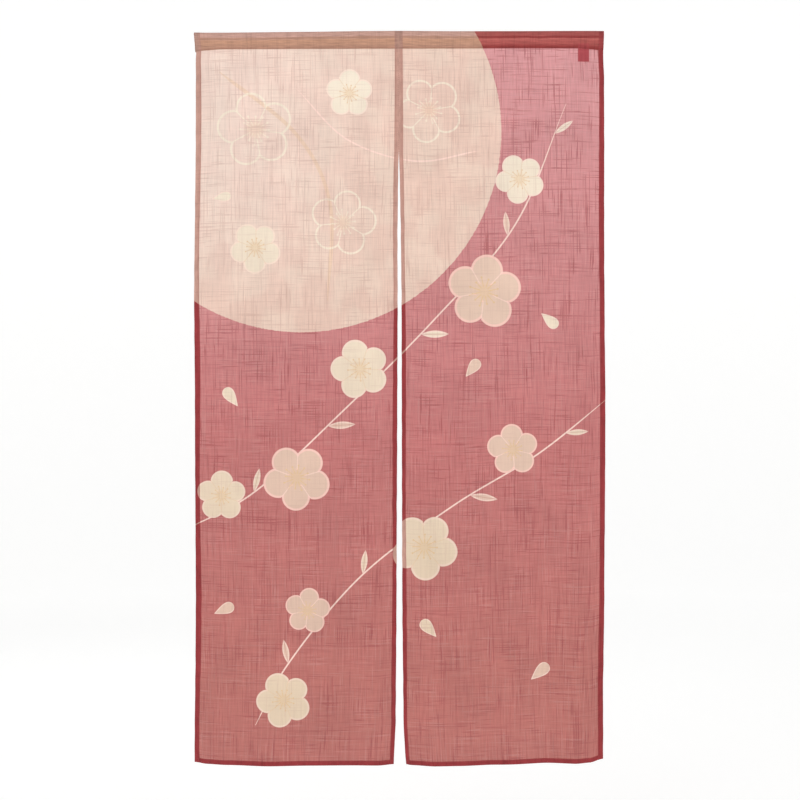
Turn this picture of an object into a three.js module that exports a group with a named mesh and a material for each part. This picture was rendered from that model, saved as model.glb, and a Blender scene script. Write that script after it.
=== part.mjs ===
// A noren: a split door curtain of thin slub cloth, hanging by its top edge.
// Two lengths of cloth hang side by side. Their tops are folded to the back and stitched down as a
// rod pocket, their inner edges are sewn together for a hand's length, and below that the slit opens.
// Millimetres. X to the right, +Y to the back, +Z up. The origin is the centre of the top edge.
import * as THREE from "three";
import { mergeVertices } from "three/addons/utils/BufferGeometryUtils.js";

// Cloth
const CLOTH = 1.2;
const HEM_CLOTH = 2.4;
const SIDE_HEM = 11;
const BOTTOM_HEM = 10;
const HEM_STEP = 0.8;
const CLEARANCE = 0.3;

// Where the two lengths meet: the sewn join runs straight down to the head of the slit
const JOIN_X = -2.5;

// Grid: lines across each length of cloth, lines down a panel, and sides of the rod pocket's section
const COLUMNS = 22;
const PANEL_ROWS = 32;
const POCKET_SIDES = 20;

// The top edge, and the foot of the heading, from the left end to the right: it droops at its open ends
const HEADING_ROWS = [
  { x: -427, top: -3.0, foot: -45.5 },
  { x: -405, top: -3.0, foot: -42.0 },
  { x: -370, top: -2.8, foot: -39.6 },
  { x: -200, top: -2.2, foot: -38.8 },
  { x: -60, top: -0.5, foot: -38.3 },
  { x: 0, top: 0.0, foot: -38.2 },
  { x: 110, top: 0.2, foot: -38.0 },
  { x: 240, top: 1.8, foot: -37.4 },
  { x: 370, top: 2.6, foot: -37.6 },
  { x: 400, top: 2.5, foot: -40.0 },
  { x: 423, top: 2.3, foot: -43.0 },
];

// The outer side edges, from the top down: they wander a few millimetres as the cloth hangs
const SIDE_ROWS = [
  { z: 3, left: -426.2, right: 422.6 },
  { z: -45, left: -423.2, right: 421.6 },
  { z: -100, left: -422.6, right: 422.8 },
  { z: -370, left: -422.8, right: 423.2 },
  { z: -500, left: -425.0, right: 423.4 },
  { z: -620, left: -427.0, right: 425.0 },
  { z: -820, left: -426.2, right: 426.4 },
  { z: -960, left: -425.6, right: 425.8 },
  { z: -1060, left: -424.6, right: 423.4 },
  { z: -1260, left: -424.8, right: 422.8 },
  { z: -1380, left: -425.4, right: 420.8 },
  { z: -1450, left: -427.0, right: 420.4 },
  { z: -1530, left: -426.4, right: 421.4 },
];

// The slit: shut as far down as the join is sewn, then opening towards the foot
const SLIT_ROWS = [
  { z: 3, centre: JOIN_X, gap: CLEARANCE },
  { z: -248, centre: JOIN_X, gap: CLEARANCE },
  { z: -300, centre: -2.2, gap: 3.0 },
  { z: -430, centre: -1.7, gap: 7.0 },
  { z: -560, centre: -0.6, gap: 7.6 },
  { z: -870, centre: -0.5, gap: 8.6 },
  { z: -1180, centre: -1.0, gap: 11.0 },
  { z: -1430, centre: -1.0, gap: 15.0 },
  { z: -1480, centre: -0.8, gap: 20.0 },
  { z: -1530, centre: 0.4, gap: 27.0 },
];

// The bottom edge of each panel: its corners lift, and the right one rises in a slow wave
const FOOT_ROWS_LEFT = [
  { x: -427, z: -1516.0 },
  { x: -400, z: -1520.4 },
  { x: -360, z: -1523.0 },
  { x: -270, z: -1524.4 },
  { x: -120, z: -1524.0 },
  { x: -45, z: -1523.0 },
  { x: -13, z: -1520.0 },
];
const FOOT_ROWS_RIGHT = [
  { x: 14, z: -1518.0 },
  { x: 22, z: -1522.4 },
  { x: 70, z: -1524.6 },
  { x: 130, z: -1524.0 },
  { x: 200, z: -1521.2 },
  { x: 300, z: -1518.4 },
  { x: 365, z: -1519.2 },
  { x: 395, z: -1515.2 },
  { x: 421, z: -1509.0 },
];

// Soft upright waves of the hanging cloth: length and depth of each, how far it leans to the right
// for each millimetre down, and the share of it that shows at the top. The sewn heading stays straight.
const WAVES = [
  { length: 238, depth: 3.8, shift: 0.3, lean: 0.035, atHead: 0.12 },
  { length: 131, depth: 1.4, shift: 2.1, lean: -0.05, atHead: 0.25 },
  { length: 611, depth: 2.8, shift: 4.0, lean: 0.02, atHead: 0.0 },
];
const LONG_DROP = 1524;
const WAVES_START = 20;
const WAVES_FREE = 200;

// Below the join each length swings a little on its own: the left one forward, the right one back
const SWING = { left: -1.5, right: 2.5 };
const SWING_START = 260;

// The bottom corners curl to the back
const CORNER_CURL = 5;
const CORNER_REACH = 60;

// Rod pocket: half its inner depth in the middle of the strip and at the open ends
const POCKET_HALF_DEPTH = 3.9;
const POCKET_END_FLARE = 1.0;
const FLARE_REACH = 70;
const SEAM_LIP = 4;
const LIP_THICKNESS = 2.6;

// The folded tape at the back
const TAB = { left: 370, right: 392, depth: 1.6, drop: 25, below: 0.7, columns: 6, rows: 8 };

const COLOURS = { rose: 0xc98483, deepRose: 0xa8595a, paleRose: 0xc4958a };

// Value of a table's column at a place between its rows, halfway from a straight line to an eased one
function read(rows, place, key, at) {
  const ordered = [...rows].sort((a, b) => a[place] - b[place]);
  const last = ordered.length - 1;
  if (at <= ordered[0][place]) return ordered[0][key];
  if (at >= ordered[last][place]) return ordered[last][key];
  const next = ordered.findIndex((row) => row[place] > at);
  const low = ordered[next - 1];
  const high = ordered[next];
  const share = (at - low[place]) / (high[place] - low[place]);
  const eased = THREE.MathUtils.smoothstep(share, 0, 1);
  return THREE.MathUtils.lerp(low[key], high[key], THREE.MathUtils.lerp(share, eased, 0.5));
}

// How far the cloth's middle surface stands behind the plane of the top edge
function waveAt(x, z) {
  const down = THREE.MathUtils.clamp(-z / LONG_DROP, 0, 1);
  let y = 0;
  for (const wave of WAVES) {
    const grown = THREE.MathUtils.lerp(wave.atHead, 1, THREE.MathUtils.smoothstep(down, 0, 1));
    const phase = (x + wave.lean * z) * ((2 * Math.PI) / wave.length) + wave.shift;
    y += wave.depth * grown * Math.sin(phase);
  }
  return y * THREE.MathUtils.smoothstep(-z, WAVES_START, WAVES_FREE);
}

// The closed body of a geometry whose points have been moved: only position is left, shared points
// are merged, and the faces are turned to point out
function closedBody(geometry) {
  const bare = new THREE.BufferGeometry();
  bare.setAttribute("position", geometry.getAttribute("position"));
  bare.setIndex(geometry.getIndex());
  const merged = mergeVertices(bare);
  const point = merged.getAttribute("position");
  const kept = [];
  let volume = 0;
  const a = new THREE.Vector3();
  const b = new THREE.Vector3();
  const c = new THREE.Vector3();
  for (let i = 0; i < merged.index.count; i += 3) {
    const corners = [merged.index.getX(i), merged.index.getX(i + 1), merged.index.getX(i + 2)];
    if (new Set(corners).size < 3) continue;
    kept.push(...corners);
    a.fromBufferAttribute(point, corners[0]);
    b.fromBufferAttribute(point, corners[1]);
    c.fromBufferAttribute(point, corners[2]);
    volume += a.dot(b.cross(c));
  }
  if (volume < 0) {
    kept.reverse();
  }
  merged.setIndex(kept);
  merged.computeVertexNormals();
  return merged;
}

// Places of a grid's lines between two hemmed edges: each hem has its own line and a step beside it
function hemmedLines(count, firstHem, lastHem) {
  const lines = [];
  if (firstHem > 0) {
    lines.push({ share: 0, add: 0, hem: true }, { share: 0, add: firstHem, hem: true });
    lines.push({ share: 0, add: firstHem + HEM_STEP, hem: false });
  } else {
    lines.push({ share: 0, add: 0, hem: false });
  }
  for (let i = 1; i < count; i += 1) {
    lines.push({ share: i / count, add: 0, hem: false });
  }
  lines.push({ share: 1, add: -lastHem - HEM_STEP, hem: false });
  lines.push({ share: 1, add: -lastHem, hem: true }, { share: 1, add: 0, hem: true });
  return lines;
}

// The left and right edge of one length of cloth at a height
function edgesAt(side, z) {
  const centre = read(SLIT_ROWS, "z", "centre", z);
  const gap = read(SLIT_ROWS, "z", "gap", z);
  const outer = read(SIDE_ROWS, "z", side, z);
  return side === "left" ? [outer, centre - gap / 2] : [centre + gap / 2, outer];
}

// Where a line of the grid crosses one length of cloth at a height
function across(side, z, line) {
  const [first, last] = edgesAt(side, z);
  return THREE.MathUtils.lerp(first, last, line.share) + line.add;
}

// One hanging length of cloth, from just under its heading down to the bottom hem
function panel(side) {
  const footRows = side === "left" ? FOOT_ROWS_LEFT : FOOT_ROWS_RIGHT;
  const columns = hemmedLines(COLUMNS, SIDE_HEM, SIDE_HEM);
  const rows = hemmedLines(PANEL_ROWS, 0, BOTTOM_HEM);
  const geometry = new THREE.BoxGeometry(1, 1, 1, columns.length - 1, 1, rows.length - 1);
  const position = geometry.getAttribute("position");

  for (let i = 0; i < position.count; i += 1) {
    const column = columns[Math.round((position.getX(i) + 0.5) * (columns.length - 1))];
    const row = rows[Math.round((0.5 - position.getZ(i)) * (rows.length - 1))];
    const atFront = position.getY(i) < 0;

    // the side edges depend on the height, and the height on the place across: two steps settle both
    let z = -LONG_DROP * row.share;
    let x = across(side, z, column);
    for (let step = 0; step < 2; step += 1) {
      const head = read(HEADING_ROWS, "x", "foot", x) - CLEARANCE;
      const foot = read(footRows, "x", "z", x);
      z = THREE.MathUtils.lerp(head, foot, row.share) - row.add;
      x = across(side, z, column);
    }

    const [first, last] = edgesAt(side, z);
    const toCorner = Math.hypot(Math.min(x - first, last - x), z - read(footRows, "x", "z", x));
    const curl = CORNER_CURL * (1 - THREE.MathUtils.smoothstep(toCorner, 0, CORNER_REACH));
    const swing = SWING[side] * THREE.MathUtils.smoothstep(-z, SWING_START, LONG_DROP);
    const middle = waveAt(x, z) + swing + curl;
    const thickness = column.hem || row.hem ? HEM_CLOTH : CLOTH;
    const y = atFront ? middle - CLOTH / 2 : middle - CLOTH / 2 + thickness;
    position.setXYZ(i, x, y, z);
  }
  return closedBody(geometry);
}

// One half of the rod pocket: the wall of a ring turned on a lathe, flattened to an oval sleeve that
// runs along X and ends below in a thin sewn lip. It shares the panel's lines across.
function heading(side) {
  const columns = hemmedLines(COLUMNS, SIDE_HEM, SIDE_HEM);
  const last = columns.length - 1;
  const innerRadius = 1;
  const outerRadius = 2;
  const profile = [];
  for (let i = 0; i <= last; i += 1) {
    profile.push(new THREE.Vector2(innerRadius, i));
  }
  for (let i = last; i >= 0; i -= 1) {
    profile.push(new THREE.Vector2(outerRadius, i));
  }
  profile.push(profile[0].clone());
  const geometry = new THREE.LatheGeometry(profile, POCKET_SIDES);
  const position = geometry.getAttribute("position");
  const sideStep = (2 * Math.PI) / POCKET_SIDES;

  for (let i = 0; i < position.count; i += 1) {
    const radius = Math.hypot(position.getX(i), position.getZ(i));
    const isOuter = outerRadius - radius < radius - innerRadius;
    const turn = Math.atan2(position.getX(i), position.getZ(i));
    const column = columns[Math.round(position.getY(i))];
    const low = across(side, HEADING_ROWS[0].foot, column);
    const top = read(HEADING_ROWS, "x", "top", low);
    const foot = read(HEADING_ROWS, "x", "foot", low);
    const pocketTop = top - CLOTH;
    const pocketFoot = foot + SEAM_LIP;
    const fromEnd = Math.abs(read(SIDE_ROWS, "z", side, foot) - low);
    const flare = 1 - THREE.MathUtils.smoothstep(fromEnd, 0, FLARE_REACH);
    const halfDepth = POCKET_HALF_DEPTH + POCKET_END_FLARE * flare;
    const halfHeight = (pocketTop - pocketFoot) / 2;
    const wall = isOuter ? CLOTH : 0;
    let y = -Math.sin(turn) * (halfDepth + wall);
    let z = pocketTop - halfHeight + Math.cos(turn) * (halfHeight + wall);
    const sidesFromFoot = Math.round((Math.PI - Math.abs(turn)) / sideStep);
    if (isOuter && sidesFromFoot <= 1) {
      // the lip: both walls and the turned-in edge, sewn flat
      y = (-Math.sign(Math.sin(turn)) * sidesFromFoot * LIP_THICKNESS) / 2;
      z = foot;
    }
    position.setXYZ(i, across(side, z, column), y, z);
  }
  return closedBody(geometry);
}

// The folded tape: it hangs on the back from the foot of the heading and follows the cloth's waves
function tab() {
  const geometry = new THREE.BoxGeometry(1, 1, 1, TAB.columns, 1, TAB.rows);
  const position = geometry.getAttribute("position");
  for (let i = 0; i < position.count; i += 1) {
    const x = THREE.MathUtils.lerp(TAB.left, TAB.right, position.getX(i) + 0.5);
    const head = read(HEADING_ROWS, "x", "foot", x) - TAB.below;
    const z = head - TAB.drop * (0.5 - position.getZ(i));
    const front = waveAt(x, z) + CLOTH / 2 + CLEARANCE;
    position.setXYZ(i, x, position.getY(i) < 0 ? front : front + TAB.depth, z);
  }
  return closedBody(geometry);
}

function cloth(name, geometry, colour) {
  const material = new THREE.MeshStandardMaterial({ color: colour, roughness: 0.92, metalness: 0 });
  const mesh = new THREE.Mesh(geometry, material);
  mesh.name = name;
  return mesh;
}

const noren = new THREE.Group();
noren.name = "noren";
noren.add(cloth("heading_left", heading("left"), COLOURS.paleRose));
noren.add(cloth("heading_right", heading("right"), COLOURS.deepRose));
noren.add(cloth("panel_left", panel("left"), COLOURS.rose));
noren.add(cloth("panel_right", panel("right"), COLOURS.rose));
noren.add(cloth("tab", tab(), COLOURS.deepRose));

export default noren;
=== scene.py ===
"""A noren: a split door curtain of thin slub cloth, hung by its top edge.

Two lengths of cloth hang side by side. Each is folded from its flat cut: side hems first, then the
bottom hem, then the top over to the back as a rod pocket. A dyed pale moon with round five-petalled
blossoms, leaves and curved stems runs over both. Metres, X to the right, +Y to the back, +Z up.
"""

import math
from collections import namedtuple

import bpy
import numpy as np
from bpy.props import FloatProperty, FloatVectorProperty, IntProperty, PointerProperty
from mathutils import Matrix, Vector


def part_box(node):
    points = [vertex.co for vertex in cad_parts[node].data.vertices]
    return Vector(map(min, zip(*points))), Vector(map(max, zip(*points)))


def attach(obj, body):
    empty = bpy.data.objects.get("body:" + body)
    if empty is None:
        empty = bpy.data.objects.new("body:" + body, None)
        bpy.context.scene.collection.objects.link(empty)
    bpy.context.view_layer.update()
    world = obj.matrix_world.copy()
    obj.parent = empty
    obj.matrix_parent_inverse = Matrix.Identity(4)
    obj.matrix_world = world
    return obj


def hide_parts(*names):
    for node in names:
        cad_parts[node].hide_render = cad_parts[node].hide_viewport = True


bl_info = {
    "name": "Noren curtain",
    "version": (1, 0, 0),
    "blender": (4, 5, 0),
    "location": "View3D > Sidebar > Noren",
    "description": "Hangs a split door curtain of dyed slub cloth around its frame",
    "category": "Object",
}

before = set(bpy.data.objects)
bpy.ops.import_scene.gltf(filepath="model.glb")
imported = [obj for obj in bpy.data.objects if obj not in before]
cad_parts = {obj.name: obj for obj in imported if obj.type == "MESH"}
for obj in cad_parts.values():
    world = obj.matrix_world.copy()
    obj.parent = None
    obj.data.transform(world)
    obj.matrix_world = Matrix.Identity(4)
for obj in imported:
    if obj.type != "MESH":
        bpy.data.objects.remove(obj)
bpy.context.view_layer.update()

# The curtain's outline: the frame's, with its edges set more finely
HEADING = {
    "x": (-0.427, -0.405, -0.370, -0.200, -0.060, 0.0, 0.110, 0.240, 0.370, 0.400, 0.423),
    "top": (-0.0036, -0.0040, -0.0040, -0.0023, -0.0006, -0.0003, -0.0010, -0.0008, -0.0004, -0.0004,
            -0.0006),
    "foot": (-0.0455, -0.0420, -0.0396, -0.0388, -0.0383, -0.0382, -0.0380, -0.0374, -0.0376, -0.0400,
             -0.0430),
}
SIDES = {
    "z": (0.003, -0.045, -0.100, -0.245, -0.370, -0.500, -0.560, -0.620, -0.745, -0.870, -0.995,
          -1.118, -1.180, -1.304, -1.366, -1.430, -1.530),
    "left": (-0.4272, -0.4240, -0.4234, -0.4237, -0.4251, -0.4267, -0.4272, -0.4266, -0.4254, -0.4251,
             -0.4243, -0.4235, -0.4232, -0.4238, -0.4244, -0.4252, -0.4261),
    "right": (0.4227, 0.4212, 0.4231, 0.4235, 0.4233, 0.4235, 0.4242, 0.4243, 0.4258, 0.4257,
              0.4250, 0.4239, 0.4239, 0.4223, 0.4212, 0.4216, 0.4220),
}
JOIN_X = -0.0025
JOIN_FOOT = -0.248
SLIT = {
    "z": (0.003, JOIN_FOOT, -0.300, -0.430, -0.560, -0.870, -0.995, -1.180, -1.430, -1.480, -1.530),
    "centre": (JOIN_X, JOIN_X, -0.0022, -0.0017, -0.0008, -0.0010, -0.0012, -0.0012, -0.0008, -0.0008, 0.0),
    "gap": (0.0, 0.0, 0.0030, 0.0070, 0.0080, 0.0096, 0.0108, 0.0118, 0.0160, 0.0206, 0.0270),
}
FEET = {
    "left": {
        "x": (-0.427, -0.400, -0.360, -0.270, -0.120, -0.045, -0.013),
        "z": (-1.5160, -1.5204, -1.5230, -1.5244, -1.5240, -1.5230, -1.5200),
    },
    "right": {
        "x": (0.014, 0.022, 0.070, 0.130, 0.200, 0.300, 0.365, 0.395, 0.421),
        "z": (-1.5215, -1.5232, -1.5260, -1.5248, -1.5214, -1.5192, -1.5213, -1.5188, -1.5112),
    },
}

# How unevenly the edges run
EDGE_WANDER = 0.0002
SLIT_WANDER = 0.0003
SLIT_FREE = 0.33
OUTER_SEED = 1.7
SLIT_SEEDS = {"left": 4.1, "right": 5.2}
WANDER_SHORT = 0.047
WANDER_LONG = 0.0715

# How the cloth stands before and behind the plane of its top edge, as the frame has it
Wave = namedtuple("Wave", "length depth shift lean at_head")
WAVES = (
    Wave(0.238, 0.0038, 0.3, 0.035, 0.12),
    Wave(0.131, 0.0014, 2.1, -0.05, 0.25),
    Wave(0.611, 0.0028, 4.0, 0.02, 0.0),
)
LONG_DROP = 1.524
WAVES_START = 0.020
WAVES_FREE = 0.200
SWING = {"left": -0.0015, "right": 0.0025}
SWING_START = 0.260
CORNER_CURL = 0.005
CORNER_REACH = 0.060
POCKET_DEPTH = 0.0045
POCKET_FLARE = 0.0010
FLARE_REACH = 0.070
WALL_ROUND = 0.8

# The hems, and the grid lines near them
Hem = namedtuple("Hem", "width uneven widest_at")
SIDE_HEMS = {
    "left": (Hem(0.0108, 0.10, -0.19), Hem(0.0092, 0.07, -0.83)),
    "right": (Hem(0.0084, 0.08, -0.70), Hem(0.0108, 0.05, -0.35)),
}
HEM_WAVE = 0.50
HEM_MIDDLE = 0.45
HEM_CELL = 0.8
HEM_RELIEF = 0.0002
HEM_EASE = 0.006
NEAR_FOLD = 0.0012
PAST_HEM = 0.0005
FOLD_TURNS = (0.25, 0.5, 0.75)
BOTTOM_HEM = 0.0100

# The height at which a length's flat width is read, and how often its crossings are worked out
WIDTH_AT = -0.4
SETTLE_ROUNDS = 4

# The heading: its inlay, its seam, the cloth just below it, and the pocket's open end
INLAY = 0.0100
SEAM_UP = 0.0025
PRESSED_REACH = 0.014
FACE_FREE = 0.030
IN_HEADING = 0.0010
OPEN_END_FRONT = 0.0022
OPEN_END_BACK = -0.0012
OPEN_END_FADE = (0.040, 0.110)
OPEN_END_TURN = 0.003

# The tape, and the stitches of the join above the slit
TAPE_TOP = -0.027
TAPE_BLUR = 0.0007
TAPE_LIFT = 0.001
TAPE_IN_SEAM = 0.004
TAPE_BEND = 0.0005
TAPE_PRESSED = 0.0002
TAPE_LOOSE = 0.0011
TAPE_WAVE = 0.0002
JOIN_PITCH = 0.0042
JOIN_STITCH = 0.0030
JOIN_SLANT = (0.9, 0.0, 0.44)
JOIN_ENDS = 0.004
JOIN_PROUD = 0.0002
THREAD_ON_CLOTH = 0.00006

# Puckers along the seams
PUCKER_REACH = 0.008
PUCKER_SEEDS = {"left": 0.4, "right": 2.9}
PUCKER_PACE = 1.9
HEAD_PUCKER_PACE = 1.7
HEAD_PUCKER = 1.6
HEAD_PUCKER_DOWN = 0.008
HEAD_PUCKER_REACH = 0.012

# Soft creases: from one point to another, how deep, and how wide. They fade at both ends
CREASE_START = (-0.02, 0.06)
CREASE_END = (-0.10, 0.02)
CREASES_FREE = (0.06, 0.14)
Crease = namedtuple("Crease", "x0 z0 x1 z1 depth width")
CREASES = (
    Crease(-0.10, -0.05, -0.13, -0.34, 0.0009, 0.017),
    Crease(0.17, -0.05, 0.15, -0.27, -0.0008, 0.015),
    Crease(0.33, -0.05, 0.30, -0.42, 0.0010, 0.019),
    Crease(-0.33, -0.05, -0.35, -0.36, -0.0008, 0.016),
    Crease(-0.02, -0.25, -0.12, -0.52, -0.0012, 0.016),
    Crease(0.01, -0.25, 0.10, -0.50, 0.0012, 0.016),
    Crease(-0.43, -0.62, -0.26, -0.76, 0.0010, 0.020),
    Crease(0.43, -0.82, 0.27, -0.98, -0.0010, 0.020),
    Crease(-0.24, -1.10, -0.20, -1.53, 0.0011, 0.018),
    Crease(0.22, -1.14, 0.26, -1.53, 0.0012, 0.020),
    Crease(0.06, -1.28, 0.03, -1.53, -0.0010, 0.016),
)

# The dyed design: a large pale moon, then stems with the blossoms and leaves that sit beside them
MOON_X = -0.205
MOON_Z = -0.210
MOON_RADIUS = 0.415
CREAM, PINK, OUTLINE = 1, 2, 3
SLENDER, DROP = 1, 2
STEM_FAMILIES = ("stem_one", "stem_two")
Stem = namedtuple("Stem", "points family gold")
STEMS = {
    "long": Stem(((-0.445, -1.035), (-0.300, -0.955), (-0.120, -0.790), (0.070, -0.600), (0.240, -0.400),
                  (0.345, -0.150)), "stem_one", 0),
    "arc": Stem(((-0.375, -0.085), (-0.215, -0.215), (-0.145, -0.360), (-0.150, -0.560)), "stem_one", 1),
    "branch": Stem(((-0.300, -1.440), (-0.230, -1.310), (-0.080, -1.130), (0.110, -0.985), (0.290, -0.875),
                    (0.445, -0.750)), "stem_two", 0),
    "loop": Stem(((0.160, -0.250), (0.030, -0.270), (-0.110, -0.225), (-0.215, -0.120)), "stem_two", 0),
}
# Blossoms on a stem: how far along it, how far beside it, their radius, turn and kind
StemBlossom = namedtuple("StemBlossom", "stem along beside radius turn kind")
STEM_BLOSSOMS = (
    StemBlossom("long", 0.130, 0.030, 0.052, 0.3, CREAM),
    StemBlossom("long", 0.275, -0.034, 0.070, 0.9, PINK),
    StemBlossom("long", 0.470, 0.038, 0.062, 0.6, CREAM),
    StemBlossom("long", 0.690, -0.036, 0.078, 0.2, PINK),
    StemBlossom("long", 0.870, 0.034, 0.052, 0.8, CREAM),
    StemBlossom("branch", 0.110, -0.030, 0.058, 0.7, CREAM),
    StemBlossom("branch", 0.300, 0.034, 0.048, 0.2, PINK),
    StemBlossom("branch", 0.520, -0.036, 0.070, 1.0, CREAM),
    StemBlossom("branch", 0.760, 0.036, 0.054, 0.4, PINK),
)
LooseBlossom = namedtuple("LooseBlossom", "x z radius turn kind")
LOOSE_BLOSSOMS = (
    LooseBlossom(-0.300, -0.205, 0.080, 0.5, OUTLINE),
    LooseBlossom(-0.118, -0.398, 0.070, 0.1, OUTLINE),
    LooseBlossom(0.060, -0.165, 0.070, 0.8, OUTLINE),
    LooseBlossom(-0.105, -0.130, 0.050, 0.3, CREAM),
    LooseBlossom(-0.300, -0.450, 0.054, 0.9, CREAM),
)
# Leaves on a stem: how far along it, how far they lean from it, their half length, shape and tone
StemLeaf = namedtuple("StemLeaf", "stem along lean half kind tone")
STEM_LEAVES = (
    StemLeaf("long", 0.200, 0.7, 0.026, SLENDER, CREAM),
    StemLeaf("long", 0.370, -0.7, 0.030, SLENDER, PINK),
    StemLeaf("long", 0.575, -0.8, 0.030, SLENDER, CREAM),
    StemLeaf("long", 0.780, 0.7, 0.026, SLENDER, PINK),
    StemLeaf("long", 0.955, -0.6, 0.024, SLENDER, CREAM),
    StemLeaf("branch", 0.200, 0.8, 0.026, SLENDER, PINK),
    StemLeaf("branch", 0.405, 0.7, 0.026, SLENDER, CREAM),
    StemLeaf("branch", 0.640, -0.7, 0.030, SLENDER, PINK),
    StemLeaf("branch", 0.870, -0.6, 0.024, SLENDER, CREAM),
)
LooseLeaf = namedtuple("LooseLeaf", "x z half turn kind tone")
LOOSE_LEAVES = (
    LooseLeaf(0.150, -0.700, 0.022, 0.9, DROP, PINK),
    LooseLeaf(-0.350, -0.760, 0.023, 2.2, DROP, CREAM),
    LooseLeaf(0.310, -0.600, 0.022, -0.7, DROP, CREAM),
    LooseLeaf(-0.365, -1.200, 0.022, 0.4, DROP, PINK),
    LooseLeaf(0.060, -1.240, 0.023, 2.3, DROP, CREAM),
    LooseLeaf(0.290, -1.330, 0.024, 0.7, DROP, PINK),
    LooseLeaf(-0.370, -0.345, 0.020, 0.2, DROP, CREAM),
)
MOTIF_MARGIN = 0.012
FAR_AWAY = 9.0
SPANS = 60
CHUNK = 20000

# Where the colours darken, as shares of the way down, and the moon's edge
ROSE_STEPS = (("rose_high", 0.03, 0.38), ("rose_low", 0.38, 0.56), ("rose_foot", 0.56, 0.88))
MOTIF_FADE = (0.05, 0.75)
MOON_FADE = (0.05, 0.40)
MOON_BLUR = 0.0006
MOON_BLEED = 0.0022

# Proportions of the motifs, as shares of a blossom's radius or a leaf's half length
PETALS = 5
PETAL_CENTRE = 0.56
PETAL_RADIUS = 0.43
PETAL_UNEVEN = 0.018
PETAL_RIM = (-0.072, -0.050)
CORE_RADIUS = 0.30
GAP_WIDTH = 0.020
GAP_START = 0.24
BLUR = 0.008
STAMENS = 12
STAMEN_START = (0.10, 0.13)
STAMEN_LENGTH = 0.36
STAMEN_UNEVEN = 0.04
STAMEN_TIP = (0.036, 0.022)
GLOW = (0.34, 0.10)
LEAF_WIDTH = 0.27
DROP_WIDTH = 0.32
DROP_TAPER = 1.5
LEAF_EDGE = (0, 0.04)
LEAF_RIM = (0.13, 0.09)
LEAF_RIB = (0.035, 0.020)

# The stems: half their width at the tips and what it grows by, in metres
STEM_TIP = 0.0004
STEM_GROWTH = 0.0012
STEM_BLUR = 0.0003
GOLD_WIDER = 1.4

# The heading's bands and the painted shade line along its crease: how far from its crease, its foot or the
# join each of them reaches
CREASE_DOWN = 0.0162
CREASE_SLOPE = 0.0020
BAND_UNEVEN = 0.004
STRIP_EDGE = (0.0008, -0.0004)
CREASE_SHADE_ABOVE = 0.0026
CREASE_SHADE_WIDTH = (0.0036, 0.0010)
LIP_REACH = (0.0150, 0.0038)
UNDER_CREASE = (0.0022, 0.0075)
HEADING_EDGE = (0.0007, 0.0009)
JOIN_BAND = (0.0090, 0.0082)

# The weave. Thick and thin stretches of thread are where its noise lies between two levels
THREAD_PITCH = 0.0009
TWIST_PITCH = 0.0005
THREADS_APART = 7.31
THREAD_SWAY = 0.0022
WARP_SEED, WEFT_SEED = 3.7, 41.3
FINE_WARP_SEED, FINE_WEFT_SEED = 77.1, 95.9
FINE_THREADS = 0.6
FINE_LENGTH = 0.5
THICK_WARP = (0.57, 0.68)
THICK_WEFT = (0.58, 0.70)
THIN = (0.42, 0.30)
THIN_SHARE = 0.048
FINE_SHARE = 0.31
CLOUD_SHARE = 0.20
BLOT_SHARE = 0.42
WEAVE_OFFSETS = {"left": 0, "right": 1.0}

# How strongly every surface shines
SHINE = 0.2

# The stage
WHITE = (1, 1, 1, 1)
PALE_GREY = (0.6, 0.6, 0.595, 1)
LIGHT_AIM = (0, 0, -0.76)
Softbox = namedtuple("Softbox", "place size power")
SOFTBOXES = {
    "front_light": Softbox((-1.6, -3.4, 1.1), 2.4, "key"),
    "side_light": Softbox((3.4, -1.1, 0.3), 1.2, "fill"),
    "back_light": Softbox((-1.0, 3.6, 1.4), 2.4, "back"),
}


def display(red, green, blue):
    """A colour as a screen shows it, from parts of 255."""
    return (red / 255, green / 255, blue / 255)


def colour_property(name, description, default):
    return FloatVectorProperty(
        name=name, description=description, size=3, min=0, max=1, subtype="COLOR_GAMMA", default=default
    )


def number_property(name, description, default, **options):
    return FloatProperty(name=name, description=description, default=default, **options)


def length_property(name, description, default):
    return number_property(name, description, default, min=0, subtype="DISTANCE", unit="LENGTH")


def place_property(name, description, default):
    return number_property(name, description, default, subtype="DISTANCE", unit="LENGTH")


def share_property(name, description, default):
    return number_property(name, description, default, min=0, max=2, subtype="FACTOR")


def power_property(name, description, default):
    return number_property(name, description, default, min=0, unit="POWER")


class NorenClothSettings(bpy.types.PropertyGroup):
    cell: length_property("Cell", "Spacing of the cloth's grid lines", 0.0062)
    layer_gap: length_property("Layer gap", "Distance between two folded layers", 0.0005)
    pucker: length_property("Pucker", "Height of the small puckers along the seams", 0.00030)
    slub_pitch: length_property("Slub pitch", "Width of one uneven thread", 0.0016)
    warp_length: length_property("Warp slubs", "Usual length of a thick stretch of a hanging thread", 0.115)
    weft_length: length_property("Weft slubs", "Usual length of a thick stretch of a level thread", 0.100)
    slub_depth: share_property("Slub depth", "How dark the thick stretches of thread are", 0.48)
    cover: share_property("Cover", "How much of what is behind one layer of cloth is covered", 0.96)


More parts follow.
